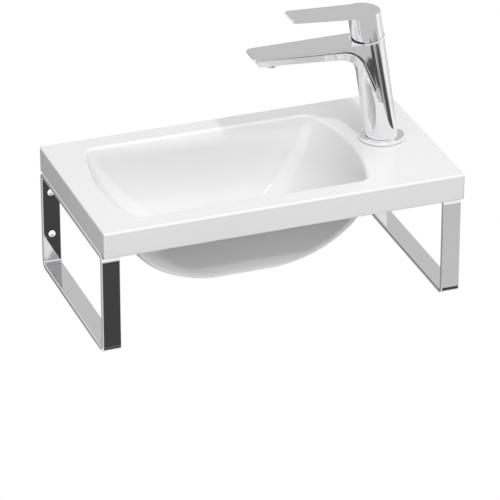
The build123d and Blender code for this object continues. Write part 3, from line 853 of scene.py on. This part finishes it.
def stage_card(name, edges, brightness):
    """A panel between two rows of points that only polished surfaces see, and that casts no shadow."""
    bm = bmesh.new()
    low, high = [[bm.verts.new(Vector(c) * MM) for c in edge] for edge in edges]
    for i in range(len(low) - 1):
        bm.faces.new((low[i], low[i + 1], high[i + 1], high[i]))
    card = link_mesh(name, bm)
    material = bpy.data.materials.new(name)
    material.use_nodes = True
    tree = material.node_tree
    tree.nodes.clear()
    glow = tree.nodes.new("ShaderNodeEmission")
    glow.inputs["Color"].default_value = (brightness, brightness, brightness, 1)
    out = tree.nodes.new("ShaderNodeOutputMaterial")
    tree.links.new(glow.outputs["Emission"], out.inputs["Surface"])
    card.data.materials.append(material)
    card.visible_camera = False
    card.visible_diffuse = False
    card.visible_shadow = False
    card.visible_transmission = False
    return card


def show_white(tree, lit, white, out):
    """Show plain white to the camera, mirrors and glass, and the lit shader to the rest."""
    path = tree.nodes.new("ShaderNodeLightPath")
    glossy = tree.nodes.new("ShaderNodeMath")
    glossy.operation = "MAXIMUM"
    through = tree.nodes.new("ShaderNodeMath")
    through.operation = "MAXIMUM"
    mix = tree.nodes.new("ShaderNodeMixShader")
    tree.links.new(path.outputs["Is Camera Ray"], glossy.inputs[0])
    tree.links.new(path.outputs["Is Glossy Ray"], glossy.inputs[1])
    tree.links.new(glossy.outputs["Value"], through.inputs[0])
    tree.links.new(path.outputs["Is Transmission Ray"], through.inputs[1])
    tree.links.new(through.outputs["Value"], mix.inputs["Fac"])
    tree.links.new(lit, mix.inputs[1])
    tree.links.new(white, mix.inputs[2])
    tree.links.new(mix.outputs["Shader"], out.inputs["Surface"])


def make_floor():
    """A floor under everything that shows white and keeps the light it throws back low."""
    bm = bmesh.new()
    bmesh.ops.create_grid(bm, x_segments=1, y_segments=1, size=6.0)
    bmesh.ops.translate(bm, vec=(0, 0, -0.8), verts=bm.verts)
    floor = link_mesh("studio_floor", bm)
    material = bpy.data.materials.new("pale_floor")
    material.use_nodes = True
    tree = material.node_tree
    tree.nodes.clear()
    matt = tree.nodes.new("ShaderNodeBsdfDiffuse")
    matt.inputs["Color"].default_value = (0.3, 0.3, 0.3, 1)
    white = tree.nodes.new("ShaderNodeEmission")
    white.inputs["Color"].default_value = (1, 1, 1, 1)
    white.inputs["Strength"].default_value = 1.0
    out = tree.nodes.new("ShaderNodeOutputMaterial")
    show_white(tree, matt.outputs["BSDF"], white.outputs["Emission"], out)
    floor.data.materials.append(material)
    floor.visible_glossy = False


def make_world():
    """Soft light that grows with height, behind a background that shows white."""
    world = bpy.data.worlds.new("studio")
    bpy.context.scene.world = world
    world.use_nodes = True
    tree = world.node_tree
    tree.nodes.clear()
    out = tree.nodes.new("ShaderNodeOutputWorld")
    soft = tree.nodes.new("ShaderNodeBackground")
    soft.inputs["Color"].default_value = (1, 1, 1, 1)
    where = tree.nodes.new("ShaderNodeTexCoord")
    split = tree.nodes.new("ShaderNodeSeparateXYZ")
    rise = tree.nodes.new("ShaderNodeMapRange")
    for socket, level in (("From Min", 0.1), ("From Max", 0.75), ("To Min", 0.03), ("To Max", 0.56)):
        rise.inputs[socket].default_value = level
    tree.links.new(where.outputs["Generated"], split.inputs["Vector"])
    tree.links.new(split.outputs["Z"], rise.inputs["Value"])
    tree.links.new(rise.outputs["Result"], soft.inputs["Strength"])
    white = tree.nodes.new("ShaderNodeBackground")
    white.inputs["Color"].default_value = (1, 1, 1, 1)
    white.inputs["Strength"].default_value = 1.0
    show_white(tree, soft.outputs["Background"], white.outputs["Background"], out)


def aim(obj, target):
    """Turn a lamp to face a point."""
    direction = Vector(target) - obj.location
    obj.rotation_euler = direction.to_track_quat("-Z", "Y").to_euler()


def soft_lamp(name, place, target, size, watts):
    """A square lamp. Only the key lamp shows in polished surfaces."""
    light = bpy.data.lights.new(name, "AREA")
    light.shape = "SQUARE"
    light.size = size
    light.energy = watts
    lamp = bpy.data.objects.new(name, light)
    lamp.location = place
    bpy.context.scene.collection.objects.link(lamp)
    aim(lamp, target)
    lamp.visible_camera = False
    lamp.visible_glossy = name == "key_lamp"


def make_camera():
    """The photograph's view through a long lens. It looks at a point below the deck's middle."""
    lens, distance = 278.46, 4095.28
    azimuth, elevation = radians(-20.16), radians(27.53)
    shift_right, shift_up = -0.83, -95.01
    data = bpy.data.cameras.new("camera")
    data.lens = lens
    data.sensor_width = 36.0
    data.sensor_fit = "HORIZONTAL"
    data.clip_end = 50.0
    camera = bpy.data.objects.new("camera", data)
    forward = Vector((
        -sin(azimuth) * cos(elevation), cos(azimuth) * cos(elevation), -sin(elevation)
    ))
    right = forward.cross(Vector((0, 0, 1))).normalized()
    up = right.cross(forward)
    middle = Vector((*SLAB_CENTRE, DECK_Z)) + right * shift_right + up * shift_up
    camera.location = (middle - forward * distance) * MM
    camera.rotation_euler = Matrix((right, up, -forward)).transposed().to_euler()
    bpy.context.scene.collection.objects.link(camera)
    bpy.context.scene.camera = camera


make_world()
make_floor()
make_camera()
LAMP_TARGET = (0.0, -0.1, 0.05)
# name, place, size, watts
LAMPS = (
    ("key_lamp", (0.05, -2.18, 2.98), 0.16, 31.5),
    ("overhead_softbox", (0.0, -0.2, 2.2), 1.6, 18.5),
    ("left_softbox", (-2.0, -1.2, 0.22), 0.3, 12.5),
    ("front_softbox", (0.2, -2.0, 1.4), 1.0, 10.6),
    ("front_fill", (0.2, -2.3, 0.2), 0.2, 8.8),
    ("low_softbox", (0.0, -0.12, -0.75), 0.5, 3.2),
)
for name, location, size, watts in LAMPS:
    soft_lamp(name, location, LAMP_TARGET, size, watts)

# Panels stand on a ring round the tap's foot.
# name, brightness, ring radius, rows of bearing, low edge and high edge
CARDS = (
    ("dark_flag_front", 0.08, 2.0, (
        (-16, -900, -880), (-12, -900, -862), (-6, -898, -846), (0, -896, -834), (4, -894, -812),
        (8, -872, -786), (12, -846, -760), (14, -832, -750), (16, -820, -742), (18, -808, -738),
        (21, -796, -740), (25, -786, -748), (30, -772, -768),
    )),
    ("dark_flag_right", 0.09, 2.0, (
        (36, -660, -638), (40, -690, -600), (45, -700, -578), (50, -700, -562), (55, -690, -552),
        (60, -680, -562), (66, -665, -588), (72, -655, -606), (80, -645, -620), (86, -642, -632),
    )),
    ("half_flag_right", 0.34, 2.01, (
        (22, -780, -700), (30, -775, -640), (40, -720, -590), (44, -680, -565),
        (54, -600, -545), (60, -600, -545), (66, -610, -550), (72, -630, -575), (80, -645, -600),
    )),
    ("grey_flag_front", 0.6, 2.02, (
        (-75, -1160, -420), (-40, -1160, -420), (0, -1250, -420), (15, -1250, -420),
        (30, -1250, -420), (45, -1100, -420), (60, -900, -420), (69, -700, -420),
    )),
    ("black_flag_low", 0.06, 1.98, ((4, -1900, -930), (14.5, -1900, -900))),
    ("black_flag_low_right", 0.06, 1.98, ((14.5, -1900, -1130), (34, -1900, -1130))),
    ("grey_flag_side", 0.72, 2.02, ((102, -640, -440), (116, -640, -440))),
    ("grey_flag_far_side", 0.6, 2.02, ((126, -760, -560), (138, -760, -560))),
    ("grey_flag_edge", 0.45, 2.02, ((150, -1000, -600), (165, -1000, -600), (180, -1000, -600))),
    ("grey_flag_behind_left", 0.42, 2.02, (
        (-180, -1160, -700), (-150, -1160, -700), (-128, -1160, -700),
    )),
)
for name, brightness, radius, rows in CARDS:
    stage_card(name, ring_card(radius, rows), brightness)
# Other panels, as two rows of points in millimetres
top_card = [[(-500, 900, z), (400, 900, z), (1300, 900, z)] for z in (300, 1300)]
stage_card("grey_flag_back", top_card, brightness=0.6)
low_card = [[(-700, 1500, z), (500, 1500, z), (1700, 1500, z)] for z in (-1500, -480)]
stage_card("dark_flag_back", low_card, brightness=0.3)
floor_card = [[(-400, y, -1900), (1300, y, -1900)] for y in (-1950, -300)]
stage_card("dark_floor_flag", floor_card, brightness=0.06)
# This one casts a shadow and isn't reflected. It keeps the low lamps off the basin's underside
under_card = [[(-280, 20, z), (-280, -300, z), (500, -300, z)] for z in (-500, 55)]
under_flag = stage_card("underside_flag", under_card, brightness=0.06)
under_flag.visible_shadow = True
under_flag.visible_glossy = False
bpy.context.scene.view_settings.view_transform = "Standard"
